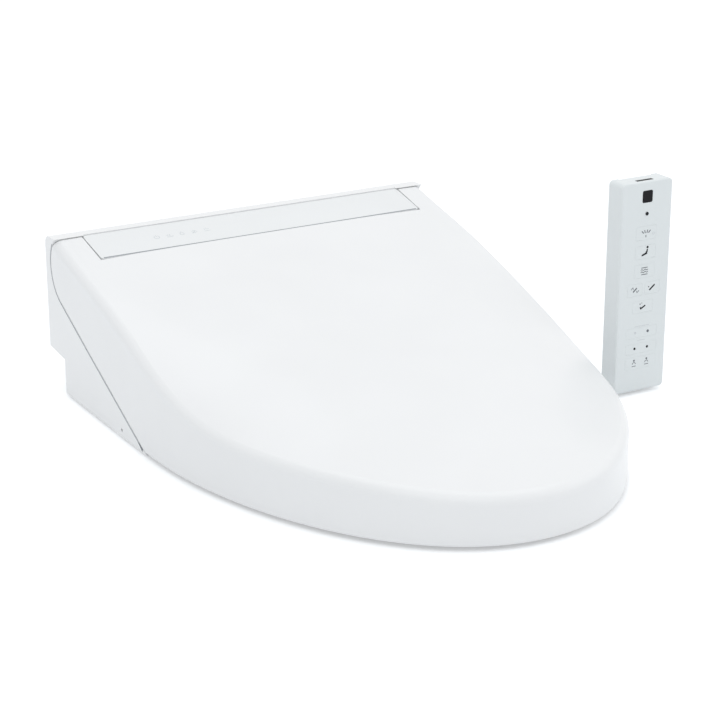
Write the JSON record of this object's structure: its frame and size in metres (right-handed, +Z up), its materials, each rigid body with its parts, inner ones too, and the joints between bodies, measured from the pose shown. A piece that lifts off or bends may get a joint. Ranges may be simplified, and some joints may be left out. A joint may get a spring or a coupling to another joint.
{
  "type": "electric bidet seat",
  "caption": "White electric bidet seat with a crowned soft-close lid, ring seat, sloping deck panel, spray wand, dryer and a slim handset in its wall bracket.",
  "frame": {"origin": "midway between the two mounting holes, on the surface that the seat rests on", "axes": "+Z up, the seat's front points to -Y, +X to the right seen from the front"},
  "size_m": [0.4782, 0.521, 0.198],
  "materials": {
    "white_gloss": "glossy white moulded plastic",
    "seat_white": "satin white moulded plastic",
    "deck_grey": "fine satin, pale blue-grey",
    "inner_plastic": "plain moulded",
    "dark_plastic": "dark matt",
    "rubber_grey": "soft moulded rubber",
    "window_clear": "frosted translucent",
    "board_green": "solder-masked laminate",
    "steel": "turned",
    "brass": "turned",
    "aluminium": "plain",
    "battery_sleeve": "plain sleeve",
    "handset_white": "satin white moulded plastic"
  },
  "bodies": {
    "base": {"base_plate": "inner_plastic", "bolt_plates": "inner_plastic", "remote_wall_bracket": "handset_white"},
    "main_unit": {"upper_case": "white_gloss", "lower_case": "inner_plastic", "front_cover": "white_gloss", "deck_panel": "deck_grey", "indicator_window": "window_clear", "display_board": "board_green", "control_board": "board_green", "power_supply": "dark_plastic", "water_valve": "inner_plastic", "water_tank": "inner_plastic", "water_pump": "dark_plastic", "wand_guide": "inner_plastic", "wand_motor": "steel", "wand_wiper_seal": "rubber_grey", "dryer_housing": "inner_plastic", "dryer_heater": "steel", "deodorizer_housing": "inner_plastic", "hinge_pins": "steel", "lid_damper": "dark_plastic", "seat_damper": "dark_plastic", "unit_pads": "rubber_grey", "water_inlet_fitting": "brass", "power_cord_gland": "dark_plastic", "case_screws": "steel"},
    "release_button": {"release_button": "deck_grey"},
    "wand": {"wand_tube": "white_gloss", "wand_tip": "white_gloss"},
    "wand_pinion": {"wand_pinion": "inner_plastic"},
    "dryer_impeller": {"dryer_impeller": "dark_plastic"},
    "dryer_flap": {"dryer_flap": "white_gloss"},
    "deodorizer_impeller": {"deodorizer_impeller": "dark_plastic"},
    "deodorizer_cartridge": {"deodorizer_cartridge": "deck_grey"},
    "drain_plug": {"drain_plug": "deck_grey"},
    "seat": {"seat_top_shell": "seat_white", "seat_bottom_shell": "seat_white", "seat_heater": "aluminium", "seat_bumpers": "rubber_grey"},
    "lid": {"lid_shell": "white_gloss", "lid_bumpers": "rubber_grey", "lid_hinge_bushes": "inner_plastic"},
    "handset": {"remote_front_shell": "handset_white", "remote_back_shell": "handset_white", "remote_batteries": "battery_sleeve", "remote_board": "board_green", "remote_ir_window": "dark_plastic"},
    "battery_cover": {"remote_battery_cover": "handset_white"},
    "key_stop": {"key_stop": "dark_plastic"},
    "key_rear_wash": {"key_rear_wash": "handset_white"},
    "key_front_wash": {"key_front_wash": "handset_white"},
    "key_soft_wash": {"key_soft_wash": "handset_white"},
    "key_oscillate": {"key_oscillate": "handset_white"},
    "key_pulse": {"key_pulse": "handset_white"},
    "key_dryer": {"key_dryer": "handset_white"},
    "key_pressure": {"key_pressure": "handset_white"},
    "key_position": {"key_position": "handset_white"},
    "key_user": {"key_user": "handset_white"}
  },
  "joints": [
    {"name": "unit_slide", "type": "slide", "parent": "base", "child": "main_unit", "axis": [0, -1, 0], "range_m": [0, 0.07]},
    {"name": "release_press", "type": "slide", "parent": "main_unit", "child": "release_button", "axis": [-1, 0, 0], "range_m": [0, 0.003], "stiffness_N_per_m": 400},
    {"name": "wand_slide", "type": "slide", "parent": "main_unit", "child": "wand", "axis": [0, -0.9397, -0.342], "range_m": [0, 0.078]},
    {"name": "wand_pinion_turn", "type": "hinge", "parent": "main_unit", "child": "wand_pinion", "pos_m": [0, -0.04917, 0.03206], "axis": [1, 0, 0], "range_deg": [0, 745.85]},
    {"name": "dryer_fan_turn", "type": "hinge", "parent": "main_unit", "child": "dryer_impeller", "pos_m": [0.072, -0.014, 0.046], "axis": [1, 0, 0], "continuous": true},
    {"name": "dryer_flap_hinge", "type": "hinge", "parent": "main_unit", "child": "dryer_flap", "pos_m": [0.072, -0.07441, 0.04326], "axis": [-1, 0, 0], "range_deg": [0, 40]},
    {"name": "deodorizer_fan_turn", "type": "hinge", "parent": "main_unit", "child": "deodorizer_impeller", "pos_m": [0.108, -0.046, 0.02], "axis": [1, 0, 0], "continuous": true},
    {"name": "cartridge_slide", "type": "slide", "parent": "main_unit", "child": "deodorizer_cartridge", "axis": [1, 0, 0], "range_m": [0, 0.062]},
    {"name": "drain_plug_turn", "type": "hinge", "parent": "main_unit", "child": "drain_plug", "pos_m": [0.19, 0.018, 0.02], "axis": [1, 0, 0], "range_deg": [0, 90]},
    {"name": "seat_hinge", "type": "hinge", "parent": "main_unit", "child": "seat", "pos_m": [0, 0.021, 0.123], "axis": [-1, 0, 0], "range_deg": [0, 100]},
    {"name": "lid_hinge", "type": "hinge", "parent": "seat", "child": "lid", "pos_m": [0, 0.021, 0.123], "axis": [1, 0, 0], "range_deg": [-102, 0]},
    {"name": "handset_lift", "type": "slide", "parent": "base", "child": "handset", "axis": [0, 0, 1], "range_m": [0, 0.065]},
    {"name": "battery_cover_slide", "type": "slide", "parent": "handset", "child": "battery_cover", "axis": [0, 0, 1], "range_m": [0, 0.03]},
    {"name": "key_stop_press", "type": "slide", "parent": "handset", "child": "key_stop", "axis": [0, 1, 0], "range_m": [0, 0.0008], "stiffness_N_per_m": 500},
    {"name": "key_rear_wash_press", "type": "slide", "parent": "handset", "child": "key_rear_wash", "axis": [0, 1, 0], "range_m": [0, 0.0008], "stiffness_N_per_m": 500},
    {"name": "key_front_wash_press", "type": "slide", "parent": "handset", "child": "key_front_wash", "axis": [0, 1, 0], "range_m": [0, 0.0008], "stiffness_N_per_m": 500},
    {"name": "key_soft_wash_press", "type": "slide", "parent": "handset", "child": "key_soft_wash", "axis": [0, 1, 0], "range_m": [0, 0.0008], "stiffness_N_per_m": 500},
    {"name": "key_oscillate_press", "type": "slide", "parent": "handset", "child": "key_oscillate", "axis": [0, 1, 0], "range_m": [0, 0.0008], "stiffness_N_per_m": 500},
    {"name": "key_pulse_press", "type": "slide", "parent": "handset", "child": "key_pulse", "axis": [0, 1, 0], "range_m": [0, 0.0008], "stiffness_N_per_m": 500},
    {"name": "key_dryer_press", "type": "slide", "parent": "handset", "child": "key_dryer", "axis": [0, 1, 0], "range_m": [0, 0.0008], "stiffness_N_per_m": 500},
    {"name": "key_pressure_press", "type": "slide", "parent": "handset", "child": "key_pressure", "axis": [0, 1, 0], "range_m": [0, 0.0008], "stiffness_N_per_m": 500},
    {"name": "key_position_press", "type": "slide", "parent": "handset", "child": "key_position", "axis": [0, 1, 0], "range_m": [0, 0.0008], "stiffness_N_per_m": 500},
    {"name": "key_user_press", "type": "slide", "parent": "handset", "child": "key_user", "axis": [0, 1, 0], "range_m": [0, 0.0008], "stiffness_N_per_m": 500}
  ],
  "couplings": [
    {"joint": "wand_pinion_turn", "follows": "wand_slide", "rad_per_m": 166.67}
  ]
}
